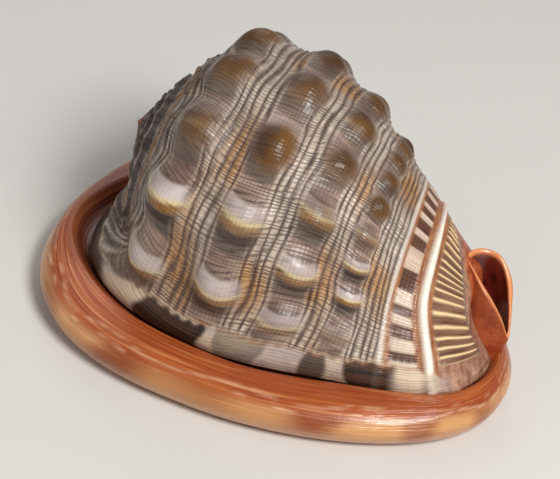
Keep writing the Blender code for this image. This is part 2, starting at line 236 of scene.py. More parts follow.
def wobble(x, y, seed):
    """A smooth random-looking field from five sines of mixed directions, between about -1 and 1."""
    rng = np.random.default_rng(seed)
    total = 0.0
    for _ in range(5):
        a, b, phase = rng.uniform(-1.0, 1.0), rng.uniform(-1.0, 1.0), rng.uniform(0.0, 6.28)
        total = total + np.sin(a * x + b * y + phase)
    return total / 3.0


def look_up(table, x):
    """The value of a table of (place, value) at x, on straight lines between its rows."""
    places, values = np.array(table, float).T
    return np.interp(x, places, values)


def spline(points, t, closed):
    """A Catmull-Rom curve through the points, t running from 0 to 1."""
    points = np.asarray(points, float)
    if closed:
        ring = np.vstack([points[-1], points, points[0], points[1]])
        position = np.mod(t, 1.0) * len(points)
        last = len(points) - 1
    else:
        ring = np.vstack([2 * points[0] - points[1], points, 2 * points[-1] - points[-2]])
        position = np.clip(t, 0.0, 1.0) * (len(points) - 1)
        last = len(points) - 2
    i = np.minimum(np.floor(position).astype(int), last)
    u = (position - i)[..., None]
    a, b, c, d = ring[i], ring[i + 1], ring[i + 2], ring[i + 3]
    return 0.5 * (2 * b + (c - a) * u + (2 * a - 5 * b + 4 * c - d) * u**2 + (3 * b - a - 3 * c + d) * u**3)


def axis_frame():
    """The shell axis, the upward direction across it, and the direction towards the lip."""
    drop, turn = np.radians([AXIS_DROP, AXIS_TURN])
    along = np.array([np.cos(drop) * np.cos(turn), np.cos(drop) * np.sin(turn), -np.sin(drop)])
    lipward = np.cross(along, [0.0, 0.0, 1.0])
    lipward /= np.linalg.norm(lipward)
    return along, np.cross(lipward, along), lipward


def section(share, inward):
    """Distance from the apex and radius at a share of the section's length, moved inward by its normal."""
    fine = spline(SECTION, np.linspace(0.0, 1.0, 2001), closed=False)
    step = np.gradient(fine, axis=0)
    step /= np.linalg.norm(step, axis=1, keepdims=True)
    length = np.concatenate([[0.0], np.cumsum(np.hypot(*np.diff(fine, axis=0).T))])
    fine = fine + inward * np.stack([step[:, 1], -step[:, 0]], axis=1)
    inside = np.flatnonzero(fine[:, 1] > 0.6 * inward)
    first, last = inside[0] - (inside[0] > 0), min(inside[-1] + 1, len(fine) - 1)
    fine, length = fine[first:last + 1], length[first:last + 1]
    fine[[0, -1], 1] = 0.0
    own = (length - length[0]) / (length[-1] - length[0])
    return np.interp(share, own, fine[:, 0]), np.interp(share, own, fine[:, 1])


def growth(angle, along):
    """Widening with the turn, e to the rate times the angle, blended back underneath."""
    turn, limit = np.abs(angle), np.radians(GROWTH_STOPS)
    back = limit * (1.0 - ease((turn - limit) / (np.pi - limit)))
    turn = np.where(turn < limit, turn, back)
    start, end = GROWTH_FADES
    rate = GROWTH_PER_RADIAN * (1.0 - ease((along - start) / (end - start)))
    return np.exp(rate * np.sign(angle) * turn)


def ring_point(angle, along, radius):
    """The apex, plus the grown distance along the axis, plus the grown radius turned by the angle."""
    axis, up, lipward = axis_frame()
    g = growth(angle, along)
    return (
        APEX
        + (g * along)[..., None] * axis
        + (g * radius * np.cos(angle))[..., None] * up
        + (g * radius * np.sin(angle))[..., None] * lipward
    )


def foot_angle(side, along, radius):
    """The angle at which a ring comes down to its foot's height, found by halving."""
    low = np.full_like(along, np.radians(80.0))
    high = np.where(along > 60.0, np.radians(140.0), np.pi)
    for _ in range(40):
        middle = (low + high) / 2.0
        above = ring_point(side * middle, along, radius)[..., 2] > BODY_FOOT
        low = np.where(above, middle, low)
        high = np.where(above, high, middle)
    return (low + high) / 2.0


def inner_edge(degrees, inset):
    """The edge curve of lip and shield on the body, moved towards its centre by the inset."""
    edge = spline(INNER_EDGE, degrees / 360.0, closed=True)
    out = edge - EDGE_CENTRE
    return edge - out / np.linalg.norm(out, axis=-1, keepdims=True) * inset


def body_sheet(across, share, inward=0.0):
    """Grid over the body from apex to canal: each ring follows the growth spiral above, and a
    weight that eases from 0 to 1 pulls it out to the inner edge of the lip and of the shield."""
    station = np.repeat(section(share, 0.0)[0][:, None], len(across), axis=1)
    along, radius = (np.repeat(v[:, None], len(across), axis=1) for v in section(share, inward))
    across = np.repeat(across[None, :], len(share), axis=0)
    closed = station <= LAST_CLOSED
    half = len(share) // 2
    back_stations = station[:half, 0]
    last_along, last_radius = (np.interp(LAST_CLOSED, back_stations, v[:half, 0]) for v in (along, radius))
    last_ring = ring_point(np.array(np.pi), last_along, last_radius)
    points, angles, flares = [], [], []
    for side, feet in ((1.0, NEAR_FOOT), (-1.0, FAR_FOOT)):
        limit = np.where(closed, np.pi, foot_angle(side, along, radius))
        angle = across * limit
        edge = inner_edge(look_up(feet, station), 1.0 + inward)
        target = np.concatenate([edge, np.full(edge.shape[:-1] + (1,), BODY_FOOT)], axis=-1)
        foot = np.where(closed[..., None], last_ring, ring_point(side * limit, along, radius))
        start = np.radians(look_up(FLARE_START, station))
        flare = ease((np.abs(angle) - start) / (limit - start))
        opening = ease((station - FIRST_FLARED) / (LAST_CLOSED - FIRST_FLARED))
        flare = flare * np.where(closed, opening, 1.0)
        points.append(ring_point(angle, along, radius) + flare[..., None] * (target - foot))
        angles.append(angle)
        flares.append(flare)
    near = across >= 0.0
    merged_points = np.where(near[..., None], *points)
    return merged_points, np.where(near, *angles), np.where(near, *flares), station, radius


def sheet_normals(points):
    """Cross product of the grid's two steps, made one long."""
    normal = np.cross(np.gradient(points, axis=1), np.gradient(points, axis=0))
    return normal / np.maximum(np.linalg.norm(normal, axis=-1, keepdims=True), 1e-9)


def run_lengths(points, axis):
    """Lengths run over a grid along one of its axes, from its first points."""
    steps = np.linalg.norm(np.diff(points, axis=axis), axis=-1)
    start = np.zeros_like(steps.take([0], axis=axis))
    return np.concatenate([start, np.cumsum(steps, axis=axis)], axis=axis)


def foot_distances(points, across):
    """Distance over the surface from each point to the foot of its ring, on its own side."""
    run = run_lengths(points, 1)
    return np.where(across[None, :] >= 0.0, run[:, -1:] - run, run)


def knob_fields(degrees, along):
    """Height of the knobs, a field that is 1 on their tops, and their colour masks. A knob is e to the
    minus of its two scaled distances, each to a power. Low ones go from a pale upward slope, partly
    painted light, through a cream crest line that is a painted highlight and gold, to a dark downward
    slope that is dark pigment with painted shade. High ones have a brown cap with a gold side that is
    partly a painted lit side, and grey and streaked ground lies between."""
    height, knob, fields = np.zeros_like(degrees), np.zeros_like(degrees), {}
    for row, (place, first, step, tall, long, wide, count) in enumerate(KNOB_ROWS):
        nearest = np.clip(np.round((degrees - first) / step), 0, count - 1)
        turn = degrees - first - nearest * step
        down, beside = turn / wide, (along - place) / long
        one = np.exp(-(np.abs(down) ** KNOB_ROUND + np.abs(beside) ** KNOB_ROUND))
        knob = np.maximum(knob, one)
        height += tall * one
        low = ease((first + nearest * step - LOW_KNOB) / LOW_KNOB_SOFT)
        varied = 0.82 + 0.18 * np.sin(2.4 * nearest + 1.7 * row)
        share = np.clip(turn / step, -0.5, 0.5) + 0.07 * beside**2
        across = np.exp(-(np.abs(beside / 1.25) ** 4.0)) * varied
        lower, upper = low * across, (1.0 - low) * across
        cap = np.exp(-((down - 0.05) ** 2 + (1.05 * beside) ** 2) ** 1.6 / 0.9)
        # The gold side of an upper knob's cap is partly a painted lit side
        gold_and_lit_side = 0.8 * upper * cap * ease(0.9 * (beside - down))
        # pale is partly painted light on the upward slope, cream a painted highlight on the crest, dark
        # partly painted shade on the downward slope
        for name, values in {
            "pale": lower * band(share, *PALE_AND_LIT_SPAN) + 0.4 * upper * band(share, *UPPER_PALE_AND_LIT_SPAN),
            "cream": lower * bump(share, *CREAM_HIGHLIGHT_LINE),
            "gold": lower * band(share, *GOLD_SPAN) + gold_and_lit_side,
            "dark": lower * band(share, *DARK_AND_SHADE_SPAN),
            "cap": np.minimum(1.5 * upper * cap, 1.0),
            "grey": across * band(share, *GREY_SPAN),
            "streaked": across * (1.0 - band(share, *PLAIN_SPAN)),
            "check_line": 0.5 * lower * bump(share, *CHECK_LINE),
        }.items():
            fields[name] = np.maximum(fields.get(name, 0.0), values)
    return height, knob, fields


def cord_fields(degrees, along, room):
    """Height and masks of the cords: cosine ridges along the axis in each band, which wave by a sine
    round the knobs and shrink where room, 0 to 1, is small."""
    height, phase_here, cords = (np.zeros_like(degrees) for _ in range(3))
    wave = np.sin(np.radians(360.0 / CORD_WAVE_STEP) * (degrees - CORD_WAVE_FROM))
    for low, high, pitch, tall, swing in CORD_BANDS:
        place = along + swing * wave
        inside = band(place, low, high, CORD_SOFT) * room
        phase = (place - low) / pitch
        phase_here = np.where(band(place, low, high, CORD_SOFT + 1.0) > 0.0, phase, phase_here)
        cords = np.maximum(cords, inside)
        height += tall * inside * (waves(phase, 0.8) - 0.5)
    return height, {"cord_phase": phase_here, "cords": cords}


def spire_fields(angles, along, radius):
    """Height and masks of the spire. The whorl number is the logarithm of the radius to the base of the
    whorl ratio, less the turn. Its fraction, the ledge, runs from one suture to the next."""
    spire = 1.0 - ease((along - SPIRE_ENDS) / SPIRE_SOFT)
    whorl = np.log(np.maximum(radius, 0.5) / SUTURE_RADIUS) / np.log(WHORL_RATIO) - angles / (2 * np.pi)
    ledge = np.mod(whorl, 1.0)
    size = np.clip(radius / SPIRE_FULL_RADIUS, 0.0, 1.0)
    nodules = waves(np.degrees(angles) / NODULE_STEP, 1.0) * bump(ledge, 0.72, 0.16)
    cords = SPIRE_CORD_HEIGHT * waves(ledge * SPIRE_CORDS, 1.0)
    height = spire * size * (LEDGE_HEIGHT * ledge**2 + NODULE_HEIGHT * nodules + cords)
    return height, {
        "spire": spire,
        "suture": spire * (bump(ledge, 1.0, 0.07) + bump(ledge, 0.0, 0.05)),
        "spire_pale": spire * waves(ledge * SPIRE_CORDS, 2.0),
        "spire_gold": spire * bump(ledge, 0.62, 0.13),
        "nub": 1.0 - ease((radius - 1.5) / 2.5),
    }


def front_fields(degrees, along):
    """Height of the thin line, the white ridge and the barred channel between them, height of the
    riblets past the ridge, which are cosine ridges round the axis, and the masks of all of these."""
    thin = bump(along, THIN_LINE_AT, THIN_LINE_WIDTH)
    ridge_width = RIDGE_WIDTH * (0.45 + 0.55 * ease((degrees + 20.0) / 70.0))
    ridge = np.exp(-(np.abs((along - RIDGE_AT) / ridge_width) ** 4))
    bars = np.zeros_like(degrees)
    for start, end in CHANNEL_BARS:
        bars = np.maximum(bars, band(degrees, start, end, 1.3))
    channel = band(along, CHANNEL_FROM, CHANNEL_TO, 0.5)
    border = np.where(degrees > LAST_RIBLET, RIDGE_AT + 2.0, look_up(RIBLETS_END, degrees))
    fan = ease((along - RIBLETS_FROM) / FRONT_SOFT) * ease((border - along) / FRONT_SOFT)
    rib_phase = degrees / RIBLET_STEP + 0.25 * np.sin(degrees * 0.13)
    height = THIN_LINE_HEIGHT * thin + RIDGE_HEIGHT * ridge + channel * CHANNEL_DEPTH * (0.5 - bars)
    return height, RIBLET_HEIGHT * fan * waves(rib_phase, 3.0), {
        "channel": channel, "bar": bars, "fan": fan, "rib_phase": rib_phase,
        "fasciole": ease((along - border - 0.2) / FRONT_SOFT),
        "edging": band(along, EDGING_FROM, EDGING_TO, 0.5),
        "ridge": np.maximum(ridge, 0.75 * thin),
        "callus": ease((along - look_up(CALLUS_FROM, degrees)) / 2.5),
    }


def lip_zone_fields(angles, along, foot_distance):
    """Masks of the smooth zone before the lip, of its dark blocks and of the ragged line above it."""
    near_lip = (angles > 0) & (along > 14.0)
    top = LIP_ZONE + 0.5 * np.sin(along * 1.9) + 1.6 * wobble(along * 0.3, np.degrees(angles) * 0.1, 5)
    zone = ease((top - foot_distance) / 1.6) * near_lip * (1.0 - ease((along - LIP_ZONE_ENDS) / 5.0))
    blocks = np.zeros_like(angles)
    ragged = along + 1.1 * wobble(foot_distance * 0.6, along * 0.5, 9)
    for place, half, strength in LIP_BLOCKS:
        blocks = np.maximum(blocks, strength * band(ragged, place - half, place + half, 1.3))
    line = bump(foot_distance, top - 0.4, 0.7) * near_lip * (along < LIP_ZONE_ENDS - 2.0)
    return {"lip_zone": zone, "lip_block": blocks, "lip_line": line * (0.4 + 0.6 * blocks)}


def body_fields(angles, flares, along, radius, foot_distance):
    """Relief in millimetres and the masks that the material reads, from the turn and the place along
    the axis. All relief but the front's fades out as a ring flares."""
    degrees = np.degrees(angles)
    swept = along - SWEEP * ease((degrees - 65.0) / 40.0) * ease((along - 60.0) / 20.0)
    level = 1.0 - ease((flares - 0.05) / 0.6)
    zone_fields = lip_zone_fields(angles, along, foot_distance)
    bare = 1.0 - zone_fields["lip_zone"]

    height, knob, fields = knob_fields(degrees, swept)
    for name in fields.keys() - {"streaked"}:
        fields[name] = fields[name] * level * bare
    room = (1.0 - ease(2.2 * knob - 0.3)) * bare
    cord_height, cord_masks = cord_fields(degrees, swept, room)
    spire_height, spire_masks = spire_fields(angles, along, radius)
    front_height, riblet_height, front_masks = front_fields(degrees, swept)
    height = height + cord_height + spire_height + front_height
    height = height * np.where(along > 90.0, 1.0, level) + riblet_height

    for masks in (cord_masks, spire_masks, front_masks, zone_fields):
        fields.update(masks)
    fields["rusty"] = fields["cords"] * ease(0.15 + 0.9 * wobble(along * 0.35, degrees * 0.16, 7))
    fields["drift"] = 1.4 * wobble(along * 0.16, degrees * 0.05, 3) + 2.2 * np.sin(along * 0.11)
    shield = ease((flares - 0.2) / 0.4) * (angles < 0) * (along > LAST_CLOSED)
    fields["callus"] = np.clip(fields["callus"] + shield, 0.0, 1.0)
    return height, fields


def grid_faces(rows, columns, wraps_rows=False, wraps_columns=False, start=0):
    """Index array of the quads of a grid, wrapping round where asked."""
    i = np.arange(rows if wraps_rows else rows - 1)[:, None]
    j = np.arange(columns if wraps_columns else columns - 1)[None, :]
    k, m = (i + 1) % rows, (j + 1) % columns
    around = (i * columns + j, i * columns + m, k * columns + m, k * columns + j)
    return np.stack(np.broadcast_arrays(*around), -1).reshape(-1, 4) + start


def walled_faces(rows, columns, inner_columns, first_open):
    """Quads of an outer sheet, of the inner sheet turned round, and of the two rims between them."""
    start = rows * columns
    quads = [grid_faces(rows, columns), grid_faces(rows, inner_columns, start=start)[:, ::-1]]
    i = np.arange(first_open - 1, rows - 1)
    for outer_column, inner_column, turn in ((0, 0, 1), (columns - 1, inner_columns - 1, -1)):
        outer = i * columns + outer_column
        inner = start + i * inner_columns + inner_column
        rim = np.stack([outer, outer + columns, inner + inner_columns, inner], axis=-1)
        quads.append(rim[:, ::turn])
    return np.concatenate(quads)


def merged(points, quads):
    """Points closer than a micron made one, and quads that lost a corner made triangles or dropped."""
    keys = np.round(points, 3)
    _, first, index = np.unique(keys, axis=0, return_index=True, return_inverse=True)
    faces = index.reshape(-1)[quads]
    same = faces == np.roll(faces, -1, axis=1)
    whole = faces[~same.any(axis=1)]
    thin = faces[same.sum(axis=1) == 1]
    keep = ~(thin == np.roll(thin, -1, axis=1))
    return first, whole, thin[keep].reshape(-1, 3)


def make_piece(name, points, quads, uv, fields, material):
    """One mesh object from whole arrays: points, quads, a UV map in metres and named masks."""
    points, uv = points.reshape(-1, 3), uv.reshape(-1, 2)
    first, whole, triangles = merged(points, quads)
    loops = np.concatenate([whole.reshape(-1), triangles.reshape(-1)])
    sizes = np.concatenate([np.full(len(whole), 4), np.full(len(triangles), 3)])
    mesh = bpy.data.meshes.new(name)
    mesh.vertices.add(len(first))
    mesh.vertices.foreach_set("co", (points[first] * MM).astype(np.float32).ravel())
    mesh.loops.add(len(loops))
    mesh.loops.foreach_set("vertex_index", loops.astype(np.int32))
    mesh.polygons.add(len(sizes))
    mesh.polygons.foreach_set("loop_start", (np.cumsum(sizes) - sizes).astype(np.int32))
    mesh.update(calc_edges=True)
    layer = mesh.uv_layers.new(name="surface")
    layer.data.foreach_set("uv", (uv[first][loops] * MM).astype(np.float32).ravel())
    for field, values in fields.items():
        attribute = mesh.attributes.new(field, "FLOAT", "POINT")
        attribute.data.foreach_set("value", values.reshape(-1)[first].astype(np.float32))
    mesh.validate()
    mesh.shade_smooth()
    mesh.materials.append(material)
    piece = bpy.data.objects.new(name, mesh)
    bpy.context.scene.collection.objects.link(piece)
    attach(piece, "root")
    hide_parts(NODE)
    return piece


def colour(code):
    """An sRGB hex value as linear red, green, blue and alpha."""
    values = [int(code[i:i + 2], 16) / 255.0 for i in (1, 3, 5)]
    return tuple(v / 12.92 if v <= 0.04045 else ((v + 0.055) / 1.055) ** 2.4 for v in values) + (1.0,)


def add(tree, kind, inputs=None, **settings):
    """Adds a node with its settings, and sets or links its inputs."""
    node = tree.nodes.new(kind)
    for key, value in settings.items():
        setattr(node, key, value)
    for key, value in (inputs or {}).items():
        if isinstance(value, bpy.types.NodeSocket):
            tree.links.new(value, node.inputs[key])
        else:
            node.inputs[key].default_value = value
    return node


def maths(tree, operation, *values):
    """The result of one Math node."""
    return add(tree, "ShaderNodeMath", dict(enumerate(values)), operation=operation).outputs[0]


def mask(tree, name):
    """The mask that a piece carries as an attribute under this name."""
    return add(tree, "ShaderNodeAttribute", attribute_name=name).outputs["Fac"]


def times(tree, *factors):
    """The product of sockets and numbers. A word in it stands for the mask of that name."""
    factors = [mask(tree, factor) if isinstance(factor, str) else factor for factor in factors]
    return functools.reduce(lambda a, b: maths(tree, "MULTIPLY", a, b), factors)


def plus(tree, *terms):
    """The sum of sockets and numbers."""
    return functools.reduce(lambda a, b: maths(tree, "ADD", a, b), terms)


def scaled(tree, value, low, high, from_low=0.0, from_high=1.0):
    """The value stretched from one range to another, and kept inside the new one."""
    ranges = {"Value": value, "From Min": from_low, "From Max": from_high, "To Min": low, "To Max": high}
    return add(tree, "ShaderNodeMapRange", ranges).outputs["Result"]


def noise(tree, vector, size_mm, low, high):
    """Cloudy noise with features of a real size in millimetres, stretched from low and high to 0 and 1."""
    settings = {"Vector": vector, "Scale": 1.0 / (size_mm * MM), "Detail": 3.0}
    field = add(tree, "ShaderNodeTexNoise", settings).outputs["Fac"]
    return scaled(tree, field, 0.0, 1.0, low, high)


def ripple(tree, phase, sharp):
    """Ridges by cosine, one for each whole number of phase, narrowed by a power."""
    wave = maths(tree, "COSINE", maths(tree, "MULTIPLY", phase, 2.0 * np.pi))
    return maths(tree, "POWER", maths(tree, "MULTIPLY_ADD", wave, 0.5, 0.5), sharp)


def stretched(tree, across=1.0, along=1.0):
    """The piece's own UV map, in metres. A scale under 1 draws a pattern out in that direction."""
    uv = add(tree, "ShaderNodeUVMap", uv_map="surface").outputs["UV"]
    mapping = add(tree, "ShaderNodeMapping", {"Vector": uv, "Scale": (across, along, 1.0)})
    return mapping.outputs["Vector"]


def mix(tree, amount, under, over):
    """The socket of under covered by over as far as amount says. A word is an sRGB hex colour."""
    under, over = (colour(side) if isinstance(side, str) else side for side in (under, over))
    return add(tree, "ShaderNodeMix", {0: amount, 6: under, 7: over}, data_type="RGBA").outputs[2]


def covered(tree, base, layers):
    """The base under a stack of layers, each given as (factors of its amount, colour)."""
    for factors, over in layers:
        base = mix(tree, times(tree, *factors), base, over)
    return base


def new_material(name):
    """A node material, its tree and its Principled node."""
    material = bpy.data.materials.new(name)
    material.use_nodes = True
    tree = material.node_tree
    return material, tree, tree.nodes["Principled BSDF"]


def finish_shader(tree, shader, sockets, relief_mm, coat, specular, subsurface_mm):
    """Colour, roughness and bump linked; what is the same all over set on the sockets."""
    base, roughness, height = sockets
    lit = add(tree, "ShaderNodeBump", {"Height": height, "Distance": relief_mm * MM, "Strength": 1.0})
    tree.links.new(base, shader.inputs["Base Color"])
    tree.links.new(roughness, shader.inputs["Roughness"])
    tree.links.new(lit.outputs["Normal"], shader.inputs["Normal"])
    own = {"Coat Weight": coat, "Specular IOR Level": specular, "Subsurface Scale": subsurface_mm * MM}
    for name, value in (SHELL_OPTICS | own).items():
        shader.inputs[name].default_value = value


def whorl_patterns(tree):
    """The patterns that the body's colours and relief share: clouds 11 mm across, streaks drawn out
    across the growth, hoops drawn out around the axis, growth lines, spiral threads and beaded cords."""
    place = stretched(tree)
    streak = stretched(tree, along=0.12)
    hoop = stretched(tree, across=0.12)
    flat = add(tree, "ShaderNodeSeparateXYZ", {0: place}).outputs
    clouds = noise(tree, place, 11.0, 0.38, 0.62)
    fine = noise(tree, streak, 1.5, 0.35, 0.65)
    broad = noise(tree, streak, 4.5, 0.4, 0.6)
    hoops = noise(tree, hoop, 1.6, 0.35, 0.65)
    blotch = noise(tree, place, 7.0, 0.5, 0.62)

    uneven = times(tree, noise(tree, streak, 5.0, 0.3, 0.7), 2.4)
    grown = plus(tree, times(tree, flat["X"], 1.0 / MM), mask(tree, "drift"), uneven)
    smooth = scaled(tree, mask(tree, "pale"), 1.0, 0.12)
    strength = times(tree, smooth, plus(tree, times(tree, broad, 0.6), 0.4))
    lines = times(tree, ripple(tree, times(tree, grown, 1.0 / GROWTH_LINE_STEP), 3.0), strength)
    spirals = ripple(tree, times(tree, flat["Y"], 1.0 / (MM * SPIRAL_THREAD_STEP)), 2.0)
    shifted = plus(tree, mask(tree, "cord_phase"), times(tree, noise(tree, hoop, 2.6, 0.3, 0.7), 0.55))
    beads = times(tree, ripple(tree, shifted, 0.75), maths(tree, "SUBTRACT", 1.0, times(tree, lines, 0.7)))
    return clouds, fine, broad, hoops, blotch, smooth, lines, spirals, beads


def sculptured_shell(props):
    """Aragonite whorl laid down in growth lines: satin mauve-grey and brown, crossed by pale beaded
    cords, with pale, gold and dark-brown knobs, and smooth callus at the front. The knobs carry painted
    light and shade: partly painted light on their pale upward slopes and gold sides, a painted highlight
    on their cream crest lines, and partly painted shade on their dark lower slopes."""
    material, tree, shader = new_material("sculptured_shell")
    clouds, fine, broad, hoops, blotch, smooth, lines, spirals, beads = whorl_patterns(tree)

    # Mauve-grey ground, the knobs' colours over it with their painted light and shade, then the dark growth
    # lines, then the cords
    rusty_cords = mix(tree, beads, "#3d2012", "#bd8338")
    cords = covered(tree, mix(tree, beads, "#402e28", "#d6c4b2"), [(("rusty", 0.85), rusty_cords)])
    base = covered(tree, mix(tree, clouds, "#6e584c", "#b29885"), [
        ((broad, 0.5), "#ab917f"),
        ((fine, 0.45), "#5a4843"),
        (("grey", 0.75), "#56504a"),
        (("streaked", hoops, 0.3), "#8d6a62"),
        # Knobs: the pale upward slope is partly painted light, the cream crest line a painted highlight,
        # the gold partly a painted lit side, and the dark downward slope partly painted shade
        (("pale", 0.85), mix(tree, clouds, "#b9a8a3", "#cfc2c0")),
        (("cap",), mix(tree, clouds, "#4a2f18", "#6e4c26")),
        (("cream",), "#dcc693"),
        (("gold", plus(tree, times(tree, clouds, 0.4), 0.6)), "#8d5f22"),
        (("dark", 0.97), "#1f1510"),
        ((spirals, smooth, 0.22), "#3d302d"),
        ((lines, fine, 0.75), "#32241f"),
        ((lines, "streaked", 0.55), "#402a28"),
        (("check_line",), "#33241f"),
        (("cords", plus(tree, times(tree, clouds, 0.35), 0.58)), cords),
    ])

    # Spire: mottled grey, with pale cords, a golden shoulder, dark sutures and an orange tip
    spire = covered(tree, mix(tree, blotch, "#54453f", "#85756d"), [
        ((fine, 0.6), "#352824"),
        (("spire_pale", broad, 0.8), "#cbbfb6"),
        (("spire_gold",), "#9c6a2a"),
        (("suture", 0.8), "#33211c"),
        (("nub",), "#b8622f"),
    ])

    # Front: rusty edging, the barred channel, pale riblets on brown, the tan fasciole, the white ridge
    pale_bar = mix(tree, times(tree, lines, 0.7), "#d2bda9", "#a06a44")
    dark_bar = mix(tree, lines, "#523324", "#7d5744")
    valleys = mix(tree, fine, "#63402f", "#8c6650")
    riblets = mix(tree, ripple(tree, mask(tree, "rib_phase"), 4.0), valleys, "#f3d3a0")
    tan = covered(tree, mix(tree, hoops, "#8a5a45", "#b88f76"), [((blotch, 0.4), "#7c4c33")])

    # Zone before the lip: cream with ink-dark blocks, and a ragged pale and rusty line above it
    cream = mix(tree, clouds, "#dcc7ab", "#b5a59d")
    ink = mix(tree, broad, "#191210", "#4a3022")
    zone = covered(tree, cream, [(("lip_block",), ink), ((lines, 0.3), "#5c4034")])
    callus = mix(tree, hoops, props.callus_colour_dark, props.callus_colour_light)
    base = covered(tree, base, [
        (("spire",), spire),
        (("edging", 0.9), mix(tree, hoops, "#8a4a28", "#b0784a")),
        (("channel",), mix(tree, mask(tree, "bar"), pale_bar, dark_bar)),
        (("fan",), riblets),
        (("fasciole",), tan),
        (("ridge",), "#f3e9da"),
        (("lip_zone", 0.93), zone),
        (("lip_line", 0.6), mix(tree, broad, "#e3d2b8", "#a8672c")),
        (("callus",), callus),
    ])

    # Relief, which the smooth callus has none of: growth lines cut in, threads and beads standing out
    threads = plus(tree, times(tree, lines, -0.5), times(tree, spirals, 0.15), times(tree, fine, 0.35))
    height = plus(tree, threads, times(tree, "cords", times(tree, beads, 1.3)))
    height = times(tree, height, maths(tree, "SUBTRACT", 1.0, mask(tree, "callus")))
    sockets = (base, scaled(tree, fine, 0.24, 0.4), height)
    finish_shader(tree, shader, sockets, relief_mm=0.2, coat=0.06, specular=0.3, subsurface_mm=1.0)
    return material


def lip_callus(props):
    """Thick enamel-like callus laid in layers: glossy orange, with pale lines along the rim, and a pale
    line on the crest that is a painted highlight.
    """
    material, tree, shader = new_material("lip_callus")
    place = stretched(tree)
    drawn_out = stretched(tree, across=0.022)
    broad = stretched(tree, across=0.3)
    lines = noise(tree, drawn_out, 0.8, 0.38, 0.62)
    wisps = noise(tree, drawn_out, 1.3, 0.58, 0.68)
    patches = noise(tree, broad, 11.0, 0.42, 0.6)
    yellow = noise(tree, broad, 7.0, 0.5, 0.62)

    blotches = plus(tree, times(tree, "blotch", 0.75), times(tree, yellow, 0.25))
    base = covered(tree, mix(tree, lines, props.lip_colour_dark, props.lip_colour), [
        ((patches, 0.55), "#8c3817"),
        (("lower", 0.95), mix(tree, blotches, "#8d421b", "#d29a62")),
        (("edge_pale", 0.6), "#cf9f80"),
        ((wisps, 0.45), "#e3a36c"),
        # Pale line on the crest: painted highlight
        (("crest_highlight_line", 0.6), "#f0c39a"),
        (("under", 0.7), "#d9925c"),
        (("gap", 0.9), "#4b1d10"),
        (("tooth",), "#f0dcc0"),
        (("inside",), "#7a3a22"),
    ])
    grain = times(tree, noise(tree, place, 0.8, 0.3, 0.7), 0.2)
    height = plus(tree, lines, times(tree, "crest_highlight_line", 2.5), grain)
    sockets = (base, scaled(tree, patches, 0.2, 0.3), height)
    finish_shader(tree, shader, sockets, relief_mm=0.09, coat=0.3, specular=0.4, subsurface_mm=1.5)
    return material


def canal_callus(props):
    """Thin glossy callus: deep red-brown darkened by painted shade in the hollow, pale orange at the rim.
    """
    material, tree, shader = new_material("canal_callus")
    place = stretched(tree)
    clouds = noise(tree, place, 5.0, 0.35, 0.65)
    base = covered(tree, mix(tree, clouds, "#8f3a1f", "#ad542e"), [
        # The hollow's near-black red is painted shade over the red-brown callus
        (("hollow",), mix(tree, clouds, "#3d0e0b", props.canal_colour)),
        (("rim",), "#e08f57"),
    ])
    sockets = (base, scaled(tree, clouds, 0.22, 0.32), noise(tree, place, 1.5, 0.3, 0.7))
    finish_shader(tree, shader, sockets, relief_mm=0.06, coat=0.3, specular=0.4, subsurface_mm=1.5)
    return material


def base_outline(degrees):
    """Superellipse, wider behind its middle and leaning back on the shield's side."""
    def outline(angle):
        c, s = np.cos(angle), np.sin(angle)
        x = np.sign(c) * np.abs(c) ** (2.0 / BASE_SQUARE)
        y = np.sign(s) * np.abs(s) ** (2.0 / BASE_SQUARE) * (1.0 - BASE_EGG * c)
        return x + BASE_SKEW * y, y

    x_all, y_all = outline(np.linspace(0.0, 2.0 * np.pi, 3601))
    x, y = outline(np.radians(degrees))
    x = (x - x_all.min()) / (x_all.max() - x_all.min())
    y = (y - y_all.min()) / (y_all.max() - y_all.min())
    size = (BASE_HIGH - BASE_LOW)[:2]
    return BASE_LOW[:2] + np.stack([x, y], axis=-1) * size


def lip_profile(reach, edge):
    """Points of the lip's section as (distance from the slot, height), round its closed outline. Reach
    is the distance out to the base outline, and edge the one to where the body meets the lip."""
    width = reach - edge
    crest = reach - np.minimum(4.6, 0.4 * width)
    near, middle = np.minimum(4.0, 0.25 * reach), 0.4 * reach
    far = reach - 6.5
    one = np.ones_like(reach)
    slot_wall = [(-0.2 * one, 7.5), (-0.4 * one, 5.0), (0.0 * one, 3.0), (0.35 * near, 1.2), (near, 0.35)]
    underside = [(middle, 0.0), (middle + 0.55 * (far - middle), 0.0), (far, 0.1)]
    outer_edge = [(reach - 3.6, 1.1), (reach - 1.2, 3.4), (reach - 0.02, 7.0)]
    rolled_top = [
        (reach - np.minimum(1.6, 0.15 * width), 10.0), (crest, 12.0), ((crest + edge) / 2.0, 13.1),
        (edge + np.minimum(1.2, 0.12 * width), 13.5), (edge - 0.2, 13.1),
    ]
    hidden_side = [
        (edge - 1.8, 11.6), (edge - 5.5, 9.0), (edge * 0.5, 8.0), (0.22 * edge, 8.0), (2.0 * one, 8.6),
    ]
    points = slot_wall + underside + outer_edge + rolled_top + hidden_side
    return np.array([np.stack([place, np.full_like(place, height)], -1) for place, height in points])


class ShellBodySettings(bpy.types.PropertyGroup):
    near_columns: bpy.props.IntProperty(
        name="Columns to the lip", description="Grid columns from the top to the lip", default=212, min=20)
    far_columns: bpy.props.IntProperty(
        name="Columns to the shield", description="Grid columns from the top to the shield",
        default=110, min=20)
    rows: bpy.props.IntProperty(
        name="Rows", description="Grid rows from the apex to the canal", default=272, min=20)
    callus_colour_light: bpy.props.StringProperty(
        name="Callus, light", description="sRGB hex of the front callus where it is pale",
        default="#b25a30")
    callus_colour_dark: bpy.props.StringProperty(
        name="Callus, dark", description="sRGB hex of the front callus where it is deep",
        default="#8a3a1f")


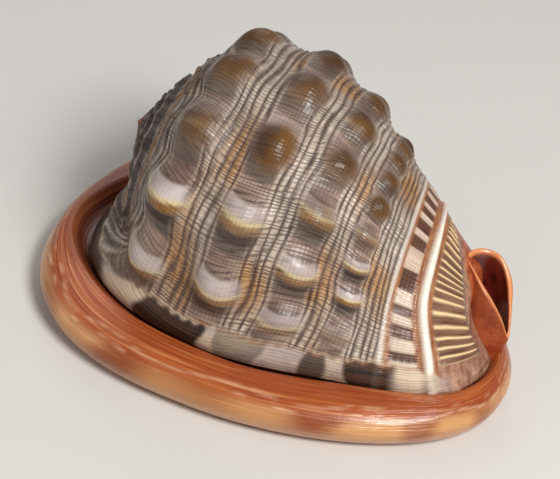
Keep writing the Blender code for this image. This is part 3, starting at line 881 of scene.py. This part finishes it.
class LipSettings(bpy.types.PropertyGroup):
    columns: bpy.props.IntProperty(
        name="Columns", description="Grid columns round the base", default=900, min=60)
    rows: bpy.props.IntProperty(
        name="Rows", description="Grid rows round the lip's section", default=104, min=20)
    tooth_height: bpy.props.FloatProperty(
        name="Tooth height", description="How far a tooth stands into the slot",
        default=TOOTH_HEIGHT * MM, unit="LENGTH")
    lip_colour: bpy.props.StringProperty(
        name="Lip", description="sRGB hex of the lip", default="#b9622d")
    lip_colour_dark: bpy.props.StringProperty(
        name="Lip, deep", description="sRGB hex of the lip's deeper lines", default="#97431c")


class CanalSettings(bpy.types.PropertyGroup):
    columns: bpy.props.IntProperty(
        name="Columns", description="Grid columns round the canal", default=160, min=20)
    canal_colour: bpy.props.StringProperty(
        name="Hollow", description="sRGB hex of the canal's hollow", default="#6e2117")


class StageSettings(bpy.types.PropertyGroup):
    floor_size: bpy.props.FloatProperty(
        name="Floor", description="Side of the floor", default=6.0, unit="LENGTH")
    floor_colour: bpy.props.StringProperty(
        name="Floor colour", description="sRGB hex of the floor", default="#d9d6d1")


class SHELL_OT_body(bpy.types.Operator):
    """The body with its knobs, cords, spire, ridge and riblets, and the hollow inside it"""

    bl_idname = "shell.body"
    bl_label = "Shell body"

    def execute(self, context):
        props = context.scene.shell_body
        far = -(1.0 - np.linspace(0.0, 1.0, props.far_columns, endpoint=False))
        across = np.concatenate([far, np.linspace(0.0, 1.0, props.near_columns)])
        share = np.linspace(0.0, 1.0, props.rows)
        points, angles, flares, along, radius = body_sheet(across, share)
        distance = foot_distances(points, across)
        relief, fields = body_fields(angles, flares, along, radius, distance)
        points = points + sheet_normals(points) * (relief * ease(distance / FOOT_FADE))[..., None]
        front = ease((along - FRONT_FROM) / FRONT_LENGTH) * (1.0 - flares)
        points = points + front[..., None] * FRONT_TUCK
        top = points[..., 2].max()
        over = np.maximum(points[..., 2] - KNOB_LEVEL, 0.0) / (top - KNOB_LEVEL)
        points[..., 2] -= over * max(top - BASE_HIGH[2], 0.0)

        # The inner sheet makes the wall, and both sheets end in a single point at either end
        inner = body_sheet(np.linspace(-1.0, 1.0, INNER_COLUMNS), share, INNER_WALL)[0]
        for sheet in (points, inner):
            sheet[[0, -1]] = sheet[[0, -1], :1]
        first_open = np.flatnonzero(along[:, 0] > LAST_CLOSED)[0]
        quads = walled_faces(len(share), len(across), INNER_COLUMNS, first_open)
        inner = inner.reshape(-1, 3)
        uv = np.stack([angles * GIRTH_RADIUS, along], axis=-1).reshape(-1, 2)
        fields = {
            name: np.concatenate([values.reshape(-1), np.full(len(inner), float(name == "callus"))])
            for name, values in fields.items()
        }
        points = np.concatenate([points.reshape(-1, 3), inner])
        uv = np.concatenate([uv, inner[:, :2]])
        make_piece("shell_body", points, quads, uv, fields, sculptured_shell(props))
        return {"FINISHED"}


class SHELL_OT_lip(bpy.types.Operator):
    """The thick lip, the shield and the toothed slot between them"""

    bl_idname = "shell.lip"
    bl_label = "Lip and shield"

    def execute(self, context):
        props = context.scene.shell_lip
        degrees = np.linspace(0.0, 360.0, props.columns, endpoint=False)
        slot = spline(SLOT_EDGE, degrees / 360.0, closed=True)
        out = base_outline(degrees) - slot
        reach = np.linalg.norm(out, axis=1)
        out /= reach[:, None]
        edge = np.sum((inner_edge(degrees, 0.0) - slot) * out, axis=1)
        profile = lip_profile(reach, edge)
        knots = len(profile)
        t = np.linspace(0.0, 1.0, props.rows, endpoint=False)
        outline = spline(profile.reshape(knots, -1), t, closed=True).reshape(props.rows, -1, 2)
        place, height = outline[..., 0], np.clip(outline[..., 1], 0.0, None)

        # Teeth are cosine ridges round the slot, tallest at its edge and fading across the underside
        knot = t[:, None] * knots + np.zeros_like(degrees)[None, :]
        tooth = sum(
            band(degrees, start, end, TEETH_SOFT) * waves(degrees / 360.0 * count, TOOTH_SHARP)
            for start, end, count in (LIP_TEETH, SHIELD_TEETH)
        )[None, :]
        near_slot = bump(knot, SLOT_KNOT, SLOT_WIDTH) + bump(knot, knots + SLOT_KNOT, SLOT_WIDTH)
        place = place - props.tooth_height / MM * tooth * near_slot
        points = np.concatenate([slot[None] + out[None] * place[..., None], height[..., None]], axis=-1)

        # The pale line on the crest, a painted highlight on a slightly raised line, breaks off in places,
        # and a fainter one above it goes on
        broken = ease(0.35 + 1.3 * wobble(degrees * 0.7, degrees * 0.23, 6))[None, :]
        bend = 0.25 * np.sin(degrees * 0.21)[None, :]
        first_line = broken * bump(knot, CREST_KNOT + bend, CREST_HIGHLIGHT_WIDTH)
        second_line = 0.6 * (1.0 - broken) * bump(knot, SECOND_LINE_KNOT + bend, CREST_HIGHLIGHT_WIDTH)
        fields = {name: band(knot, *span) for name, span in LIP_BANDS.items()} | {
            "blotch": ease(0.5 + 1.1 * wobble(degrees[None, :] * 0.3, knot * 0.5, 4)),
            "edge_pale": bump(knot, PALE_EDGE_KNOT, 0.9),
            "crest_highlight_line": first_line + second_line,
            "gap": np.clip(near_slot * (1.0 - tooth) * band(knot, *GAP_BAND), 0.0, 1.0),
            "tooth": np.clip(near_slot * tooth * 1.3, 0.0, 1.0),
        }
        around = run_lengths(base_outline(degrees), 0)
        uv = np.stack(np.broadcast_arrays(around, t[:, None] * PROFILE_LENGTH), axis=-1)
        quads = grid_faces(props.rows, props.columns, True, True)
        make_piece("lip_and_shield", points, quads, uv, fields, lip_callus(props))
        return {"FINISHED"}


class SHELL_OT_canal(bpy.types.Operator):
    """The short canal, bent up like a scoop at the front"""

    bl_idname = "shell.canal"
    bl_label = "Siphonal canal"

    def execute(self, context):
        props = context.scene.shell_canal
        t = np.linspace(0.0, 1.0, props.columns, endpoint=False)
        mouth, foot = spline(CANAL_MOUTH, t, closed=True), spline(CANAL_FOOT, t, closed=True)
        bend = (mouth + foot) / 2.0 + CANAL_BEND

        # Up the outside, round the rim by a cosine and a sine, and down the inside of a quadratic curve
        up = np.linspace(CANAL_FROM, 1.0, CANAL_ROWS)
        turn = np.pi * np.linspace(0.0, 1.0, CANAL_RIM_ROWS + 2)[1:-1]
        still = np.zeros(CANAL_ROWS)
        share = np.concatenate([up, np.ones(CANAL_RIM_ROWS), up[::-1]])[:, None, None]
        outward = np.concatenate([still + CANAL_WALL, CANAL_WALL * (0.5 + 0.5 * np.cos(turn)), still])
        lift = np.concatenate([still, CANAL_RIM_LIFT * np.sin(turn), still])
        rings = foot * (1 - share) ** 2 + 2 * bend * share * (1 - share) + mouth * share**2
        out = rings - rings.mean(axis=1, keepdims=True)
        out /= np.linalg.norm(out, axis=2, keepdims=True)
        away = (mouth - bend) / np.linalg.norm(mouth - bend, axis=1, keepdims=True)
        points = rings + out * outward[:, None, None] + away * lift[:, None, None]

        row = np.arange(len(points), dtype=float)[:, None] + np.zeros_like(t)[None, :]
        rim_row = CANAL_ROWS + CANAL_RIM_ROWS // 2
        # hollow marks the inside past the rim, where the colour is darkened by painted shade
        fields = {"hollow": ease((row - rim_row - 2.0) / 2.5), "rim": bump(row, rim_row, 2.6)}
        uv = np.stack([np.broadcast_to(t * CANAL_GIRTH, row.shape), run_lengths(points, 0)], axis=-1)
        quads = grid_faces(len(points), props.columns, True, True)
        make_piece("siphonal_canal", points, quads, uv, fields, canal_callus(props))
        return {"FINISHED"}


class SHELL_OT_stage(bpy.types.Operator):
    """Pale floor, soft studio lights and the camera"""

    bl_idname = "shell.stage"
    bl_label = "Floor, lights and camera"

    def execute(self, context):
        props = context.scene.shell_stage
        half = props.floor_size / 2.0
        corners_of_floor = [(-half, -half, 0), (half, -half, 0), (half, half, 0), (-half, half, 0)]
        mesh = bpy.data.meshes.new("floor")
        mesh.from_pydata(corners_of_floor, [], [(0, 1, 2, 3)])
        floor = bpy.data.objects.new("floor", mesh)
        context.scene.collection.objects.link(floor)
        material, _, shader = new_material("pale_floor")
        shader.inputs["Base Color"].default_value = colour(props.floor_colour)
        shader.inputs["Roughness"].default_value = 0.7
        mesh.materials.append(material)
        for name, place, size, power in STUDIO_LIGHTS:
            light = bpy.data.lights.new(name, "AREA")
            light.size, light.energy = size, power
            lamp = bpy.data.objects.new(name, light)
            lamp.location = place
            lamp.rotation_euler = (LIGHTS_AIM - Vector(place)).to_track_quat("-Z", "Y").to_euler()
            context.scene.collection.objects.link(lamp)
        world = bpy.data.worlds.new("studio")
        context.scene.world = world
        world.use_nodes = True
        background = world.node_tree.nodes["Background"]
        background.inputs["Color"].default_value = STUDIO_AIR
        background.inputs["Strength"].default_value = STUDIO_AIR_STRENGTH
        context.scene.view_settings.view_transform = "Standard"
        add_camera(context)
        return {"FINISHED"}


def add_camera(context):
    """Camera at the fitted azimuth, elevation and roll, looking at the aim from the fitted distance."""
    azimuth, elevation, roll = np.radians([VIEW_AZIMUTH, VIEW_ELEVATION, VIEW_ROLL])
    level = np.cos(elevation)
    forward = Vector((-np.sin(azimuth) * level, np.cos(azimuth) * level, -np.sin(elevation)))
    right = Vector((np.cos(azimuth), np.sin(azimuth), 0.0))
    up = right.cross(forward)
    across = right * np.cos(roll) + up * np.sin(roll)
    upward = up * np.cos(roll) - right * np.sin(roll)
    data = bpy.data.cameras.new("camera")
    data.lens, data.sensor_width = VIEW_LENS, VIEW_SENSOR
    data.shift_x, data.shift_y = VIEW_SHIFT
    camera = bpy.data.objects.new("camera", data)
    turn = Matrix((across, upward, -forward)).transposed()
    camera.matrix_world = Matrix.Translation(AIM - forward * VIEW_DISTANCE * MM) @ turn.to_4x4()
    context.scene.collection.objects.link(camera)
    context.scene.camera = camera


class SHELL_PT_panel(bpy.types.Panel):
    bl_label = "Helmet shell"
    bl_idname = "SHELL_PT_panel"
    bl_space_type = "VIEW_3D"
    bl_region_type = "UI"
    bl_category = "Shell"

    def draw(self, context):
        for settings, (group, operator) in PARTS.items():
            box = self.layout.box()
            for name in group.__annotations__:
                box.prop(getattr(context.scene, settings), name)
            box.operator(operator.bl_idname)


# The scene property that holds each part's settings, its group and its operator
PARTS = {
    "shell_body": (ShellBodySettings, SHELL_OT_body),
    "shell_lip": (LipSettings, SHELL_OT_lip),
    "shell_canal": (CanalSettings, SHELL_OT_canal),
    "shell_stage": (StageSettings, SHELL_OT_stage),
}


def register():
    for name, (group, operator) in PARTS.items():
        bpy.utils.register_class(group)
        bpy.utils.register_class(operator)
        setattr(bpy.types.Scene, name, bpy.props.PointerProperty(type=group))
    bpy.utils.register_class(SHELL_PT_panel)


def unregister():
    bpy.utils.unregister_class(SHELL_PT_panel)
    for name, (group, operator) in PARTS.items():
        delattr(bpy.types.Scene, name)
        bpy.utils.unregister_class(operator)
        bpy.utils.unregister_class(group)


def main():
    register()
    bpy.ops.shell.body()
    bpy.ops.shell.lip()
    bpy.ops.shell.canal()
    bpy.ops.shell.stage()


if __name__ == "__main__":
    main()
